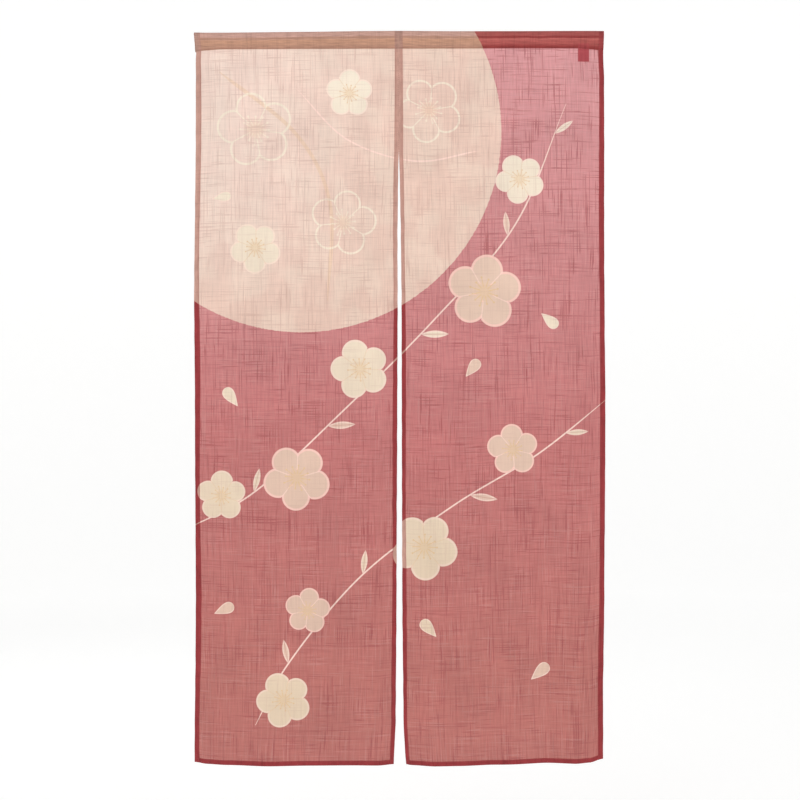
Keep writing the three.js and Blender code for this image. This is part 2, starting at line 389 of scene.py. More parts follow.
class NorenPaletteSettings(bpy.types.PropertyGroup):
    rose_top: colour_property("Rose, top", "One layer of cloth below the heading", display(210, 144, 146))
    rose_high: colour_property("Rose, high", "One layer a third of the way down", display(197, 122, 122))
    rose_low: colour_property("Rose, middle", "One layer half way down", display(189, 108, 106))
    rose_foot: colour_property("Rose, foot", "One layer near the bottom hem", display(181, 103, 95))
    crimson: colour_property("Crimson", "The hems, where the cloth is folded", display(149, 57, 60))
    moon_top: colour_property("Moon, top", "The pale moon at its top", display(229, 196, 180))
    moon_low: colour_property("Moon, foot", "The pale moon at its foot", display(224, 190, 173))
    pale_thread_and_painted_light: colour_property("Veil", "The paler top left of both grounds", display(247, 230, 221))
    pale_hem: colour_property("Pale hem", "The moon where a hem is folded", display(191, 146, 133))
    # The heading's colours. The lip colours also paint the shade line along the crease
    rose_strip: colour_property("Heading strip", "Above the heading's crease", display(165, 84, 81))
    rose_band: colour_property("Heading band", "The pocket below the crease", display(182, 96, 91))
    rose_lip_and_crease_shade: colour_property("Heading lip", "Where the inlay lies behind", display(143, 59, 58))
    pale_strip: colour_property("Pale strip", "The strip, in the moon", display(198, 156, 143))
    pale_band: colour_property("Pale band", "The pocket, in the moon", display(194, 147, 122))
    pale_lip_and_crease_shade: colour_property("Pale lip", "The lip, in the moon", display(178, 135, 115))
    cream_top: colour_property("Cream, top", "Cream blossoms at the top", display(241, 227, 207))
    cream_low: colour_property("Cream, foot", "Cream blossoms near the foot", display(224, 201, 174))
    pink_top: colour_property("Pink, top", "Pink blossoms at the top", display(228, 198, 178))
    pink_low: colour_property("Pink, foot", "Pink blossoms near the foot", display(220, 186, 166))
    # The pale colour of the thin stretches of thread, and of the painted light on the top left of both
    # grounds
    rim: colour_property("Rim", "Fine lines of the design and its stems", display(248, 215, 203))
    pink_rim: colour_property("Pink rim", "Edges of the pink blossoms", display(246, 198, 186))
    gold: colour_property("Gold", "Hearts of the blossoms and the yellow arc", display(222, 186, 140))
    tape_glow: colour_property("Tape behind", "The cloth where the tape lies behind it", display(170, 70, 76))


class NorenSewingSettings(bpy.types.PropertyGroup):
    stitch: length_property("Stitch", "Length of one stitch", 0.0026)
    stitch_gap: length_property("Gap", "Distance from stitch to stitch", 0.0005)
    thread: length_property("Thread", "Thickness of the sewing thread", 0.00036)
    inset: length_property("Inset", "From a hem's inner edge to its seam", 0.0015)
    thread_colour: colour_property("Thread colour", "Colour of the sewing thread", display(168, 98, 94))


class NorenTapeSettings(bpy.types.PropertyGroup):
    width: length_property("Width", "Width of the folded tape", 0.0232)
    tape_colour: colour_property("Tape colour", "Colour of the tape", display(168, 74, 80))
    ribs: IntProperty(name="Ribs", description="Fine ribs across the tape's width", default=26, min=4)


class NorenStageSettings(bpy.types.PropertyGroup):
    floor: length_property("Floor", "Depth of the pale floor below the top edge", 1.87)
    radius: length_property("Radius", "Radius of the pale floor", 7.0)
    sky: share_property("Sky", "Strength of the pale light from all round", 0.50)
    glow: share_property("Glow", "How brightly the pale floor shines by itself", 0.51)
    key: power_property("Key", "Power of the large front light", 28)
    fill: power_property("Fill", "Power of the weak side light", 13)
    back: power_property("Back", "Power of the light behind the cloth", 20)
    camera_x: place_property("Camera X", "The camera's place across", 0.0)
    camera_z: place_property("Camera Z", "The camera's height", -0.7656)
    view_width: length_property("View width", "Width that the camera sees at the cloth", 1.6585)
    lens: number_property("Lens", "Focal length in millimetres", 85, min=1)


def smooth(value, low, high):
    """0 below low, 1 above high, and eased between."""
    share = np.clip((np.asarray(value, float) - low) / (high - low), 0, 1)
    return share * share * (3 - 2 * share)


def mix(low, high, share):
    return low + (high - low) * share


def read(table, place, key, at):
    """A table's column at any places, halfway from straight lines between its rows to eased ones."""
    order = np.argsort(table[place])
    places = np.array(table[place])[order]
    values = np.array(table[key])[order]
    at = np.clip(at, places[0], places[-1])
    after = np.clip(np.searchsorted(places, at, side="right"), 1, len(places) - 1)
    share = (at - places[after - 1]) / (places[after] - places[after - 1])
    return mix(values[after - 1], values[after], (share + smooth(share, 0, 1)) / 2)


def wave_at(x, z):
    """How far the cloth's middle stands behind the plane of the top edge."""
    grown = smooth(-z / LONG_DROP, 0, 1)
    y = 0
    for wave in WAVES:
        phase = (x + wave.lean * z) * (2 * math.pi / wave.length) + wave.shift
        y = y + wave.depth * mix(wave.at_head, 1, grown) * np.sin(phase)
    return y * smooth(-z, WAVES_START, WAVES_FREE)


def wander(along, seed):
    """A small uneven wave along an edge, from -1 to 1."""
    turns = along * 2 * math.pi
    return (np.sin(turns / WANDER_SHORT + seed) + np.sin(turns / WANDER_LONG + 2.3 * seed)) / 2


def near(away, reach):
    """1 at a place, and almost 0 at twice the reach from it."""
    return np.exp(-((away / reach) ** 2))


def edges(side, z):
    """The left and right edge of one length of cloth at a height."""
    way = -1 if side == "left" else 1
    outer = read(SIDES, "z", side, z) + EDGE_WANDER * wander(z, OUTER_SEED)
    inner = read(SLIT, "z", "centre", z) + way * read(SLIT, "z", "gap", z) / 2
    inner = inner + SLIT_WANDER * smooth(-z, -JOIN_FOOT, SLIT_FREE) * wander(z, SLIT_SEEDS[side])
    return (outer, inner) if side == "left" else (inner, outer)


def crease_at(x, z):
    """The depth of the soft creases at a place."""
    y = 0
    for crease in CREASES:
        run = np.array((crease.x1 - crease.x0, crease.z1 - crease.z0))
        length = np.hypot(*run)
        along = ((x - crease.x0) * run[0] + (z - crease.z0) * run[1]) / length
        away = ((x - crease.x0) * run[1] - (z - crease.z0) * run[0]) / length
        faded = smooth(along, *CREASE_START) * (1 - smooth(along - length, *CREASE_END))
        y = y + crease.depth * faded * near(away, crease.width)
    return y


class Lines:
    """The grid lines across one length of cloth, from one hem's free edge to the other's.

    share is the place between the two edges, add a distance from the edge, and turned is 1 on the
    layer that the hem folds to the back."""

    def __init__(self, cloth, sewing, width, hems):
        self.width = width
        self.hems = hems
        count = round(width / cloth.cell)
        starts = [hem.width + cloth.cell * HEM_CELL for hem in hems]
        middle = np.linspace(starts[0], width - starts[1], count) / width
        at_first, at_last = (np.array(self.hem_lines(cloth, sewing, hem)) for hem in hems)
        self.share = np.concatenate([0 * at_first[:, 0], middle, 0 * at_last[:, 0] + 1])
        self.add = np.concatenate([at_first[:, 0], 0 * middle, -at_last[::-1, 0]])
        self.turned = np.concatenate([at_first[:, 1], 0 * middle, at_last[::-1, 1]])
        is_first = self.share < 0.5
        self.hem, self.uneven, self.widest_at = (np.where(is_first, *pair) for pair in zip(*hems))
        reach = np.abs(self.add)
        unfolded = np.where(self.turned > 0, 0, reach) - np.where(self.turned > 0.5, reach, 0)
        self.out = unfolded * np.sign(self.add)
        self.flat = hems[0].width + self.share * width + self.out
        self.in_hem = np.where(self.turned > 0, self.hem, self.hem - reach)
        self.is_middle = (self.share > 0) & (self.share < 1)
        self.seams = {}
        for name, share, way, hem in (("left", 0, 1, hems[0]), ("right", 1, -1, hems[1])):
            for layer, turned in (("face", 0), ("back", 1)):
                inset = way * (hem.width - sewing.inset)
                self.seams[f"{layer} {name}"] = self.find(share, inset, turned)

    def hem_lines(self, cloth, sewing, hem):
        """The lines of one hem, from its free edge round the fold to its inner edge on the face."""
        bend = cloth.layer_gap / 2
        layer = (hem.width, hem.width - sewing.inset, hem.width * HEM_MIDDLE, NEAR_FOLD, bend)
        lines = [(add, 1) for add in layer]
        for turn in FOLD_TURNS:
            angle = turn * math.pi
            lines.append((bend - bend * math.sin(angle), (1 + math.cos(angle)) / 2))
        return lines + [(add, 0) for add in (*layer[::-1], hem.width + PAST_HEM)]

    def widen(self, z):
        """How much wider than usual each line's hem is at a height."""
        return 1 + self.uneven * np.cos((z - self.widest_at) * (2 * math.pi / HEM_WAVE))

    def find(self, share, add, turned):
        """The number of a hem's line."""
        miss = np.abs(self.share - share) + np.abs(self.add - add) + np.abs(self.turned - turned)
        return int(np.argmin(miss))


class Rows:
    """The grid lines down one length, from the free edge inside the pocket to the bottom hem's.

    zone names the part of the cloth, and place is a height, a share or a turn, as the zone needs."""

    def __init__(self, cloth, sewing):
        wall_lines = 15
        inset = BOTTOM_HEM - sewing.inset
        ups = (BOTTOM_HEM + PAST_HEM, BOTTOM_HEM, inset, BOTTOM_HEM * HEM_MIDDLE, NEAR_FOLD, cloth.layer_gap)
        # The bottom hem's own lines take the place of the last three even ones
        shares = np.linspace(0, 1, round(LONG_DROP / cloth.cell))[1:-3]
        lines = [("inlay", INLAY * share) for share in (1, 0.66, 0.33, 0.1)]
        lines += [("foot fold", turn) for turn in FOLD_TURNS]
        lines += [("back", share) for share in np.linspace(1, 0, wall_lines)]
        lines += [("front", share) for share in np.linspace(0, 1, wall_lines)[1:]]
        lines += [("face", share) for share in shares]
        lines += [("face end", up) for up in ups]
        lines += [("bottom fold", turn) for turn in FOLD_TURNS]
        lines += [("hem", up) for up in ups[:0:-1]]
        self.zone = np.array([line[0] for line in lines])
        self.place = np.array([line[1] for line in lines], float)
        self.top = int(np.nonzero(self.zone == "front")[0][0]) - 1
        self.first_face = int(np.nonzero(self.zone == "face")[0][0])
        self.bottom = int(np.nonzero(self.zone == "bottom fold")[0][1])
        self.seams = {
            "heading front": self.first_face - 1,
            "heading back": int(np.nonzero(self.zone == "back")[0][0]),
            "hem front": self.find("face end", inset),
            "hem back": self.find("hem", inset),
        }

    def find(self, zone, place):
        """The number of a zone's row."""
        rows = np.nonzero(self.zone == zone)[0]
        return int(rows[np.argmin(np.abs(self.place[rows] - place))])


class Length:
    """One length of cloth, folded and hung: where each crossing of its grid lies."""

    def __init__(self, side, cloth, sewing):
        self.side = side
        self.cloth = cloth
        left, right = edges(side, WIDTH_AT)
        self.lines = Lines(cloth, sewing, float(right - left), SIDE_HEMS[side])
        self.rows = Rows(cloth, sewing)
        self.behind = np.isin(self.rows.zone, ("inlay", "foot fold", "back"))[:, None]
        self.settle()
        self.number_flat()

    def across(self, y, z):
        """The place across of every crossing, and both edges.

        At the open end the pocket's back wall reaches further out."""
        first, last = edges(self.side, z)
        if self.side == "left":
            end = mix(OPEN_END_FRONT, OPEN_END_BACK, smooth(y, -OPEN_END_TURN, OPEN_END_TURN))
            first = first + end * (1 - smooth(-z, *OPEN_END_FADE))
        return mix(first, last, self.lines.share) + self.lines.add * self.lines.widen(z), first, last

    def face(self, x, z):
        """How far the single cloth of the panel stands back."""
        first, last = edges(self.side, z)
        foot = read(FEET[self.side], "x", "z", x)
        to_side = np.minimum(x - first, last - x)
        to_foot = z - foot
        curl = CORNER_CURL * (1 - smooth(np.hypot(to_side, to_foot), 0, CORNER_REACH))
        swing = SWING[self.side] * smooth(-z, SWING_START, LONG_DROP)
        y = wave_at(x, z) + swing + curl + crease_at(x, z) * smooth(-z, *CREASES_FREE)
        below_head = read(HEADING, "x", "foot", x) - z
        seed = PUCKER_SEEDS[self.side]
        pucker = wander(z * PUCKER_PACE + x * 3, seed) * near(to_side - self.lines.hem, PUCKER_REACH)
        pucker = pucker + wander(x * PUCKER_PACE, seed + 1) * near(to_foot - BOTTOM_HEM, PUCKER_REACH)
        at_head = near(below_head - HEAD_PUCKER_DOWN, HEAD_PUCKER_REACH)
        pucker = pucker + wander(x * HEAD_PUCKER_PACE, seed + 2) * HEAD_PUCKER * at_head
        return y + self.cloth.pucker * pucker

    def settle(self):
        """Works out every crossing.

        Heights depend on the place across and back, so it goes round a few times."""
        count = len(self.rows.place)
        start = -LONG_DROP * smooth(np.arange(count), 0, count)[:, None]
        z = start + 0 * self.lines.share
        y = np.zeros_like(z)
        for _ in range(SETTLE_ROUNDS):
            y, z, self.out_y, self.out_z = self.section(*self.across(y, z), z)
        self.x, self.first, self.last = self.across(y, z)
        turned = self.lines.turned * self.cloth.layer_gap
        self.y = y - self.out_y * turned
        self.z = z - self.out_z * turned
        self.main_y, self.main_z = y, z

    def section(self, x, first, last, z_before):
        """The folded course of the cloth, and the direction that its right side faces."""
        gap = self.cloth.layer_gap
        zone = self.rows.zone[:, None]
        place = self.rows.place[:, None]
        top = read(HEADING, "x", "top", x)
        foot = read(HEADING, "x", "foot", x)
        bottom = read(FEET[self.side], "x", "z", x)
        inside = np.minimum(x - first, last - x)
        in_by = inside - self.lines.hem * self.lines.widen(z_before)
        tuck = 1 - smooth(in_by, 0, HEM_EASE)
        # One gap lies between two layers and two between three, and a hem doubles each layer
        stack = gap * (1 + 2 * tuck)
        deep = gap * (2 + 3 * tuck)
        seam = foot + SEAM_UP
        half = (top - seam) / 2
        middle = (top + seam) / 2
        outer = first if self.side == "left" else last
        depth = POCKET_DEPTH + POCKET_FLARE * (1 - smooth(np.abs(x - outer), 0, FLARE_REACH))

        inlay_turn = np.arccos(np.clip((foot + place - middle) / half, -1, 1))
        turn = np.where(zone == "inlay", inlay_turn, place * math.pi)
        bulge = depth * np.clip(np.sin(turn), 0, 1) ** WALL_ROUND + deep / 2 * np.sin(turn / 2)
        upper = turn < math.pi / 2
        tilt = np.hypot(half * np.sin(turn), depth * np.cos(turn))
        wall_y = np.where(upper, half * np.sin(turn) / tilt, 1)
        wall_z = np.where(upper, depth * np.cos(turn) / tilt, 0)

        face_z = np.where(zone == "face", mix(seam, bottom, place), bottom + place)
        face_z = np.where(zone == "bottom fold", bottom, face_z)
        pressed = -deep / 2 * (1 - smooth(foot - face_z, -SEAM_UP, PRESSED_REACH))
        in_side_hem = in_by < HEM_RELIEF
        in_bottom_hem = face_z - bottom < BOTTOM_HEM + HEM_RELIEF
        hem_relief = -HEM_RELIEF * in_side_hem - HEM_RELIEF * in_bottom_hem
        face_y = self.face(x, face_z) * smooth(foot - face_z, -SEAM_UP, FACE_FREE) + pressed + hem_relief

        radius = stack / 2
        round_y = radius - radius * np.cos(turn)
        round_z = radius - radius * np.sin(turn)
        parts = (
            (zone == "inlay", bulge - stack, foot + place, -1, 0),
            (zone == "foot fold", deep / 2 - stack + round_y, foot + round_z, -np.cos(turn), -np.sin(turn)),
            (zone == "back", bulge, middle + half * np.cos(turn), wall_y, wall_z),
            (zone == "front", -bulge, middle + half * np.cos(turn), -wall_y, wall_z),
            ((zone == "face") | (zone == "face end"), face_y, face_z, -1, 0),
            (zone == "bottom fold", face_y + round_y, bottom + round_z, -np.cos(turn), -np.sin(turn)),
            (zone == "hem", face_y + stack, bottom + place, 1, 0),
        )
        is_part = [part[0] + np.zeros_like(x, bool) for part in parts]
        return [np.select(is_part, [part[i] + 0 * x for part in parts]) for i in (1, 2, 3, 4)]

    def number_flat(self):
        """Places on the flat cut, in the design, and from the hems and the heading's edges."""
        rows, lines = self.rows, self.lines
        steps = np.hypot(np.diff(self.main_y, axis=0), np.diff(self.main_z, axis=0)).mean(axis=1)
        down = np.concatenate([[0], np.cumsum(steps)])[:, None]
        self.flat_height = float(down[-1, 0])
        self.flat_width = lines.width + lines.hems[0].width + lines.hems[1].width
        self.u = np.broadcast_to(lines.flat, self.x.shape)
        self.v = np.broadcast_to(down, self.x.shape)
        edge = mix(self.first, self.last, lines.share)
        self.print_x = np.where(lines.is_middle, self.x, edge + lines.out)
        number = np.arange(len(rows.zone))[:, None]
        over = self.main_z[rows.top] + down[rows.top] - down
        under = self.main_z[rows.bottom] + down[rows.bottom] - down
        self.print_z = np.where(number < rows.top, over, np.where(number > rows.bottom, under, self.main_z))
        bottom = read(FEET[self.side], "x", "z", self.x)
        to_edge = np.minimum(self.x - self.first, self.last - self.x)
        self.side_in = np.where(lines.is_middle, lines.hem - to_edge, lines.in_hem)
        self.foot_in = np.where(number > rows.bottom - 2, BOTTOM_HEM, BOTTOM_HEM - (self.main_z - bottom))
        self.foot_in = np.where(number < rows.first_face, -1, self.foot_in)
        foot = read(HEADING, "x", "foot", self.x)
        self.up = self.main_z - foot
        self.up = np.where(self.behind, np.maximum(self.up, IN_HEADING), self.up)
        self.down = read(HEADING, "x", "top", self.x) - self.main_z

    def mesh(self, name):
        """The cloth as a mesh, with its places as attributes and its flat cut as a map."""
        flat = np.stack([self.u / self.flat_width, 1 - self.v / self.flat_height], axis=-1)
        mesh, faces = grid_mesh(name, self.points(), flat, margin=0.004)
        offset = WEAVE_OFFSETS[self.side]
        store(mesh, "print_at", parted(self.print_x, self.print_z))
        store(mesh, "weave_at", parted(self.u + offset, self.v))
        store(mesh, "edge_in", parted(self.side_in, self.foot_in, self.up))
        store(mesh, "down_from_top", parted(self.down))
        corners = np.stack([self.print_x.ravel()[faces], self.print_z.ravel()[faces]], axis=-1)
        store(mesh, "blossom", nearest_motif(corners, blossom_marks()), "CORNER")
        store(mesh, "leaf", nearest_motif(corners, leaf_marks()), "CORNER")
        for family in STEM_FAMILIES:
            store(mesh, family, nearest_stem(corners, family), "CORNER")
        return mesh

    def points(self):
        return np.stack([self.x, self.y, self.z], axis=-1)


def plain_mesh(name, points, faces):
    mesh = bpy.data.meshes.new(name)
    mesh.from_pydata(points, [], faces)
    mesh.shade_smooth()
    return mesh


def tube_faces(rings, sides, first=0):
    """The faces between rings of points that follow each other."""
    faces = []
    for low in range(first, first + (rings - 1) * sides, sides):
        high = low + sides
        for i in range(sides):
            j = (i + 1) % sides
            faces.append((low + i, low + j, high + j, high + i))
    return faces


def set_map(mesh, spots):
    """Keeps a place on the map for each corner of each face."""
    layer = mesh.uv_layers.new(name="OFBake")
    layer.uv.foreach_set("vector", spots.astype(np.float32).ravel())


def grid_mesh(name, points, flat, margin):
    """A grid of points as a mesh with its flat cut as a map, and the mesh's faces."""
    count_rows, count_lines = points.shape[:2]
    first = (np.arange(count_rows - 1)[:, None] * count_lines + np.arange(count_lines - 1)).ravel()
    faces = np.stack([first, first + count_lines, first + count_lines + 1, first + 1], axis=1)
    mesh = plain_mesh(name, points.reshape(-1, 3).tolist(), faces.tolist())
    set_map(mesh, (margin + (1 - 2 * margin) * flat).reshape(-1, 2)[faces])
    return mesh, faces


def parted(*parts):
    """Up to three numbers for each point, as vectors."""
    return np.stack([*parts, 0 * parts[0], 0 * parts[0]][:3], axis=-1)


def store(mesh, name, values, domain="POINT"):
    """Keeps a vector for each point or corner of a mesh."""
    attribute = mesh.attributes.new(name, "FLOAT_VECTOR", domain)
    attribute.data.foreach_set("vector", np.ascontiguousarray(values, np.float32).ravel())


Mark = namedtuple("Mark", "x z size turn kind")


def on_stem(name, along):
    """A point of a stem, and the angle at which the stem runs there."""
    course = stem_course(STEMS[name].points)
    spot = int(along * (len(course) - 2))
    run = course[spot + 1] - course[spot]
    return course[spot], math.atan2(run[1], run[0])


def blossom_marks():
    marks = []
    for blossom in STEM_BLOSSOMS:
        point, angle = on_stem(blossom.stem, blossom.along)
        centre = point + blossom.beside * np.array((-math.sin(angle), math.cos(angle)))
        marks.append(Mark(centre[0], centre[1], blossom.radius, blossom.turn, blossom.kind))
    return marks + [Mark(*blossom) for blossom in LOOSE_BLOSSOMS]


def leaf_marks():
    """All leaves. The kind's tens are its shape and its ones the tone."""
    marks = []
    for leaf in STEM_LEAVES:
        point, angle = on_stem(leaf.stem, leaf.along)
        turn = angle + leaf.lean
        centre = point + leaf.half * np.array((math.cos(turn), math.sin(turn)))
        marks.append(Mark(centre[0], centre[1], leaf.half, turn, 10 * leaf.kind + leaf.tone))
    for leaf in LOOSE_LEAVES:
        marks.append(Mark(leaf.x, leaf.z, leaf.half, leaf.turn, 10 * leaf.kind + leaf.tone))
    return marks


def nearest_motif(corners, marks):
    """For each corner of each face, its place in the motif nearest the face, in that motif's own size."""
    centres = corners.mean(axis=1)
    spots = np.array([(mark.x, mark.z) for mark in marks])
    sizes = np.array([mark.size for mark in marks])
    clear = np.linalg.norm(centres[:, None] - spots, axis=2) - sizes
    chosen = np.argmin(clear, axis=1)
    is_near = clear[np.arange(len(chosen)), chosen] < MOTIF_MARGIN
    turn = np.array([mark.turn for mark in marks])[chosen][:, None]
    size = sizes[chosen][:, None]
    offset = corners - spots[chosen][:, None]
    local_x = (offset[..., 0] * np.cos(turn) + offset[..., 1] * np.sin(turn)) / size
    local_z = (offset[..., 1] * np.cos(turn) - offset[..., 0] * np.sin(turn)) / size
    kind = np.array([mark.kind for mark in marks])[chosen][:, None] + 0 * local_x
    found = np.stack([local_x, local_z, kind], axis=-1)
    return np.where(is_near[:, None, None], found, (FAR_AWAY, FAR_AWAY, 0))


def stem_course(points):
    """A smooth course through a stem's points."""
    points = np.array(points)
    padded = np.vstack([2 * points[0] - points[1], points, 2 * points[-1] - points[-2]])
    share = np.linspace(0, 1, SPANS, endpoint=False)[:, None]
    spans = []
    for i in range(len(points) - 1):
        a, b, c, d = padded[i:i + 4]
        spans.append(0.5 * (2 * b + (c - a) * share + (2 * a - 5 * b + 4 * c - d) * share ** 2
                            + (3 * b - a - 3 * c + d) * share ** 3))
    return np.vstack([*spans, points[-1:]])


def nearest_stem(corners, family):
    """For each corner, how far beside its family's nearest stem it is, how far along, and if it is gold."""
    stems = [stem for stem in STEMS.values() if stem.family == family]
    flat = corners.reshape(-1, 2)
    best = np.full(len(corners), np.inf)
    found = np.zeros((*corners.shape[:2], 3))
    found[..., 0] = FAR_AWAY
    for stem in stems:
        course = stem_course(stem.points)
        runs = np.diff(course, axis=0)
        lengths = np.linalg.norm(runs, axis=1)
        middles = (course[1:] + course[:-1]) / 2
        side = np.empty(len(flat))
        along = np.empty(len(flat))
        for start in range(0, len(flat), CHUNK):
            part = flat[start:start + CHUNK]
            span = np.argmin(((part[:, None] - middles) ** 2).sum(axis=2), axis=1)
            offset = part - course[span]
            run = runs[span] / lengths[span][:, None]
            side[start:start + CHUNK] = run[:, 0] * offset[:, 1] - run[:, 1] * offset[:, 0]
            forward = (offset * run).sum(axis=1) / lengths[span]
            along[start:start + CHUNK] = (span + np.clip(forward, -FAR_AWAY, FAR_AWAY)) / len(runs)
        side = side.reshape(corners.shape[:2])
        along = along.reshape(corners.shape[:2])
        outside = np.maximum(np.maximum(-along, along - 1), 0).max(axis=1)
        away = np.abs(side).min(axis=1) + outside
        closer = away < best
        best = np.where(closer, away, best)
        values = np.stack([side, along, 0 * side + stem.gold], axis=-1)
        found = np.where(closer[:, None, None], values, found)
    return found


class Wire:
    """A value in a shader, so that shader maths is written as sums."""

    def __init__(self, bench, socket):
        self.bench = bench
        self.socket = socket

    def __add__(self, other):
        return self.bench.math("ADD", self, other)

    def __sub__(self, other):
        return self.bench.math("SUBTRACT", self, other)

    def __rsub__(self, other):
        return self.bench.math("SUBTRACT", other, self)

    def __mul__(self, other):
        return self.bench.math("MULTIPLY", self, other)

    def __truediv__(self, other):
        return self.bench.math("DIVIDE", self, other)

    __radd__ = __add__
    __rmul__ = __mul__


class Bench:
    """A material under construction."""

    def __init__(self, name):
        self.material = bpy.data.materials.new(name)
        self.material.use_nodes = True
        self.tree = self.material.node_tree
        self.shader = self.tree.nodes["Principled BSDF"]

    def make(self, kind, settings=None, values=None, out=0):
        """Any node: its settings first, then the values or links of its sockets."""
        node = self.tree.nodes.new(kind)
        for name, value in (settings or {}).items():
            setattr(node, name, value)
        for key, value in (values or {}).items():
            self.join(value, node.inputs[key])
        return Wire(self, node.outputs[out])

    def join(self, value, socket):
        if isinstance(value, Wire):
            self.tree.links.new(value.socket, socket)
        else:
            socket.default_value = value

    def math(self, operation, *values):
        return self.make("ShaderNodeMath", {"operation": operation}, dict(enumerate(values)))

    def between(self, value, low, high, style="LINEAR"):
        """0 where the value is at low, 1 where it is at high, and held beyond."""
        return self.make("ShaderNodeMapRange", {"interpolation_type": style},
                         {"Value": value, "From Min": low, "From Max": high})

    def eased(self, value, low, high):
        return self.between(value, low, high, "SMOOTHSTEP")

    def blend(self, share, low, high):
        """A colour between two colours."""
        values = {0: share, 6: solid(low), 7: solid(high)}
        return self.make("ShaderNodeMix", {"data_type": "RGBA"}, values, out=2)

    def toned(self, colour, tone):
        """A colour made lighter or darker."""
        return self.make("ShaderNodeVectorMath", {"operation": "SCALE"}, {"Vector": colour, "Scale": tone})

    def place(self, name):
        """The three parts of a vector that the mesh keeps."""
        vector = self.make("ShaderNodeAttribute", {"attribute_name": name}, out=1)
        split = self.make("ShaderNodeSeparateXYZ", None, {0: vector})
        return [Wire(self, output) for output in split.socket.node.outputs]

    def far(self, x, y):
        """How far a place lies from the middle."""
        return self.math("SQRT", x * x + y * y)

    def line(self, value, outer, inner):
        """1 where a value is near 0, and 0 beyond the outer distance on either side."""
        return self.between(self.math("ABSOLUTE", value), outer, inner)

    def noise(self, x, y, detail=1.0):
        """Soft noise over a plane."""
        spot = self.make("ShaderNodeCombineXYZ", None, {0: x, 1: y})
        values = {"Vector": spot, "Scale": 1.0, "Detail": detail, "Roughness": 0.6}
        return self.make("ShaderNodeTexNoise", {"noise_dimensions": "2D"}, values)

    def patches(self, x, y, width, height, detail=1.0):
        """Soft noise around 0, in patches of about a width and a height."""
        return self.noise(x / width, y / height, detail) - 0.5

    def bump(self, height, strength, distance):
        values = {"Strength": strength, "Distance": distance, "Height": height}
        return self.make("ShaderNodeBump", None, values)

    def finish(self, roughness, **links):
        self.shader.inputs["Specular IOR Level"].default_value = SHINE
        self.join(roughness, self.shader.inputs["Roughness"])
        for name, value in links.items():
            self.join(value, self.shader.inputs[name.replace("_", " ")])
        return self.material


def linear(colour):
    """A screen colour as amounts of light."""
    return tuple(c / 12.92 if c <= 0.04045 else ((c + 0.055) / 1.055) ** 2.4 for c in colour)


def solid(colour):
    """A colour as a socket takes it, or a link as it is."""
    return colour if isinstance(colour, Wire) else (*linear(colour), 1.0)


def slubs(bench, across, along, pitch, length, seed):
    """Uneven threads side by side: each has thick and thin stretches of its own."""
    number = bench.math("FLOOR", across / pitch)
    return bench.noise(number * THREADS_APART + seed, along / length, 1.6)


def blossom_paint(bench):
    """Round blossoms: where they are filled, their rims and the lines between their petals, their stamens,
    their soft hearts, and their kind."""
    x, y, kind = bench.place("blossom")
    reach = bench.far(x, y)
    turn = bench.math("ARCTAN2", y, x) * (PETALS / (2 * math.pi))
    petal = bench.math("ROUND", turn)
    angle = (turn - petal) * (2 * math.pi / PETALS)
    ahead = reach * bench.math("COSINE", angle) - PETAL_CENTRE
    beside = reach * bench.math("SINE", angle)
    radius = bench.math("SINE", petal * 2.4 + kind * 5) * PETAL_UNEVEN + PETAL_RADIUS
    outside = bench.math("MINIMUM", bench.far(ahead, beside) - radius, reach - CORE_RADIUS)
    filled = bench.between(outside, BLUR, -BLUR)
    rim = bench.between(outside, *PETAL_RIM) * filled
    to_gap = reach * bench.math("SINE", math.pi / PETALS - bench.math("ABSOLUTE", angle))
    gap = bench.between(to_gap, GAP_WIDTH, BLUR) * bench.between(reach, GAP_START, CORE_RADIUS) * filled

    rays = turn * (STAMENS / PETALS)
    ray = bench.math("ROUND", rays)
    ray_beside = reach * bench.math("SINE", (rays - ray) * (2 * math.pi / STAMENS))
    length = bench.math("SINE", ray * 2.9) * STAMEN_UNEVEN + STAMEN_LENGTH
    stamen = bench.line(ray_beside, 2 * BLUR, BLUR) * bench.between(reach, *STAMEN_START)
    stamen = stamen * bench.between(reach, length, length - 0.02)
    tip = bench.between(bench.far(reach - length, ray_beside), *STAMEN_TIP)
    stamen = bench.math("MAXIMUM", stamen, tip)
    glow = bench.eased(reach, *GLOW)
    return filled, rim, gap, stamen, glow, kind


def leaf_paint(bench):
    """Slender leaves and round drops: where they are filled, their fine lines, and their tone."""
    x, y, kind = bench.place("leaf")
    is_drop = bench.math("GREATER_THAN", kind, 15)
    room = bench.math("MAXIMUM", 1 - x * x, 0)
    slender = room * LEAF_WIDTH
    drop = bench.math("SQRT", room) * (x + DROP_TAPER) * DROP_WIDTH
    width = slender + (drop - slender) * is_drop
    inside = width - bench.math("ABSOLUTE", y)
    filled = bench.between(inside, *LEAF_EDGE)
    rim = bench.between(inside, *LEAF_RIM) * filled
    rib = bench.line(y, *LEAF_RIB) * (1 - is_drop) * filled
    tone = kind - 10 - is_drop * 10
    return filled, rim, rib, tone


def stem_paint(bench, name):
    """A tapering stem: where it is, and where it is gold."""
    side, along, gold = bench.place(name)
    ends = bench.eased(along, 0, 0.08) * bench.eased(along, 1, 0.86)
    half = (ends * STEM_GROWTH + STEM_TIP) * (gold * GOLD_WIDER + 1)
    drawn = bench.between(bench.math("ABSOLUTE", side) - half, STEM_BLUR, -STEM_BLUR)
    drawn = drawn * bench.between(along, 0, 0.002) * bench.between(along, 1, 0.998)
    return drawn, gold


